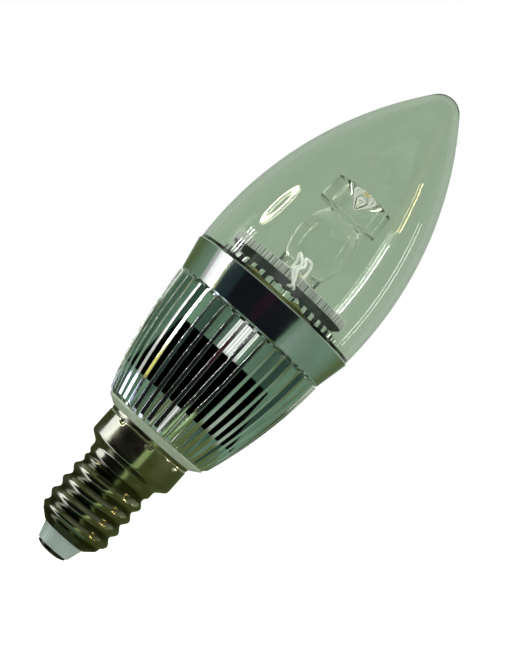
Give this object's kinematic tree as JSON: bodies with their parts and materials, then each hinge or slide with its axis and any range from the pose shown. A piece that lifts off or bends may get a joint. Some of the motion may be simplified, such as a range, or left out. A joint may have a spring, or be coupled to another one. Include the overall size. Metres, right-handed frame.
{
  "type": "led candle bulb",
  "caption": "Candle shaped LED bulb with a small screw cap, a finned aluminium body and a clear pointed cover over a light guide, for a lamp holder.",
  "frame": {"origin": "middle of the flat of the centre contact, at the lower end of the bulb", "axes": "+Z along the bulb's axis from the contact to the tip, +Y away from the picture's camera"},
  "size_m": [0.0336, 0.0336, 0.1043],
  "materials": {
    "contact_metal": "tarnished stamped contact",
    "insulator_plastic": "pale moulded insulator",
    "cap_nickel": "nickel plated rolled sheet",
    "white_plastic": "white moulded plastic",
    "bright_aluminium": "bright extruded and turned aluminium",
    "turned_aluminium": "satin turned aluminium",
    "cover_plastic": "clear grey-green moulded plastic",
    "sealant": "cured olive sealant",
    "pad_grey": "grey thermal pad",
    "board_aluminium": "metal cored board with a sheared edge",
    "ceramic": "white ceramic",
    "phosphor": "yellow phosphor",
    "clear_silicone": "clear silicone",
    "guide_acrylic": "clear moulded acrylic",
    "solder": "solder",
    "wire_white": "white insulated lead",
    "circuit_board": "green circuit board",
    "black_package": "black moulded package",
    "capacitor_sleeve": "dark shrink sleeve",
    "ferrite": "grey black ferrite",
    "winding_tape": "yellow winding tape",
    "resistor_body": "blue grey resistor coating",
    "wire_black": "black insulated lead",
    "wire_blue": "blue insulated lead"
  },
  "bodies": {
    "root": {"centre_contact": "contact_metal", "cap_insulator": "insulator_plastic", "cap_shell": "cap_nickel", "base_housing": "white_plastic", "heat_sink": "bright_aluminium", "collar_ring": "turned_aluminium", "clear_cover": "cover_plastic", "cover_sealant": "sealant", "thermal_pad": "pad_grey", "led_board": "board_aluminium", "led_emitter": "ceramic", "led_phosphor": "phosphor", "led_dome": "clear_silicone", "light_guide": "guide_acrylic", "solder_joints": "solder", "led_wire_positive": "wire_white", "led_wire_negative": "wire_white", "driver_board": "circuit_board", "bridge_rectifier": "black_package", "driver_chip": "black_package", "input_capacitor": "capacitor_sleeve", "output_capacitor": "capacitor_sleeve", "transformer_core": "ferrite", "transformer_winding": "winding_tape", "fuse_resistor": "resistor_body", "filter_choke": "ferrite", "contact_lead": "wire_black", "shell_lead": "wire_blue"}
  },
  "joints": []
}
